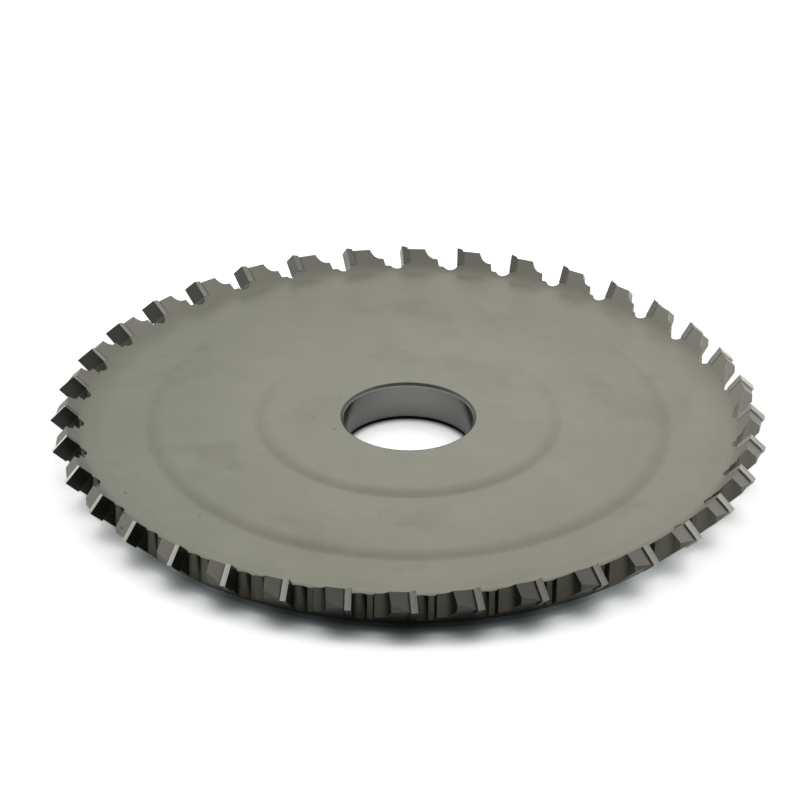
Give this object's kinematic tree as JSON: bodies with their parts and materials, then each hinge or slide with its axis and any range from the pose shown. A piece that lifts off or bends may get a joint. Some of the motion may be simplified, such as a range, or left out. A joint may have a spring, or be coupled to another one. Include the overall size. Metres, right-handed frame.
{
  "type": "circular saw blade",
  "caption": "Carbide-tipped disc blade with a thick stepped hub, a plain bore and a dished rim of vee-shaped teeth.",
  "frame": {"origin": "centre of the flat back face, on the turning axis", "axes": "+Z along the turning axis from the back face to the hub face; the first tooth's outermost corner is on +X; seen from +Z the teeth point counter-clockwise"},
  "size_m": [0.22, 0.22, 0.0161],
  "materials": {
    "steel": "satin",
    "carbide": "ground"
  },
  "bodies": {
    "root": {"blade_body": "steel", "tip_01": "carbide", "tip_02": "carbide", "tip_03": "carbide", "tip_04": "carbide", "tip_05": "carbide", "tip_06": "carbide", "tip_07": "carbide", "tip_08": "carbide", "tip_09": "carbide", "tip_10": "carbide", "tip_11": "carbide", "tip_12": "carbide", "tip_13": "carbide", "tip_14": "carbide", "tip_15": "carbide", "tip_16": "carbide", "tip_17": "carbide", "tip_18": "carbide", "tip_19": "carbide", "tip_20": "carbide", "tip_21": "carbide", "tip_22": "carbide", "tip_23": "carbide", "tip_24": "carbide", "tip_25": "carbide", "tip_26": "carbide", "tip_27": "carbide", "tip_28": "carbide", "tip_29": "carbide", "tip_30": "carbide", "tip_31": "carbide", "tip_32": "carbide", "tip_33": "carbide", "tip_34": "carbide", "tip_35": "carbide", "tip_36": "carbide"}
  },
  "joints": []
}
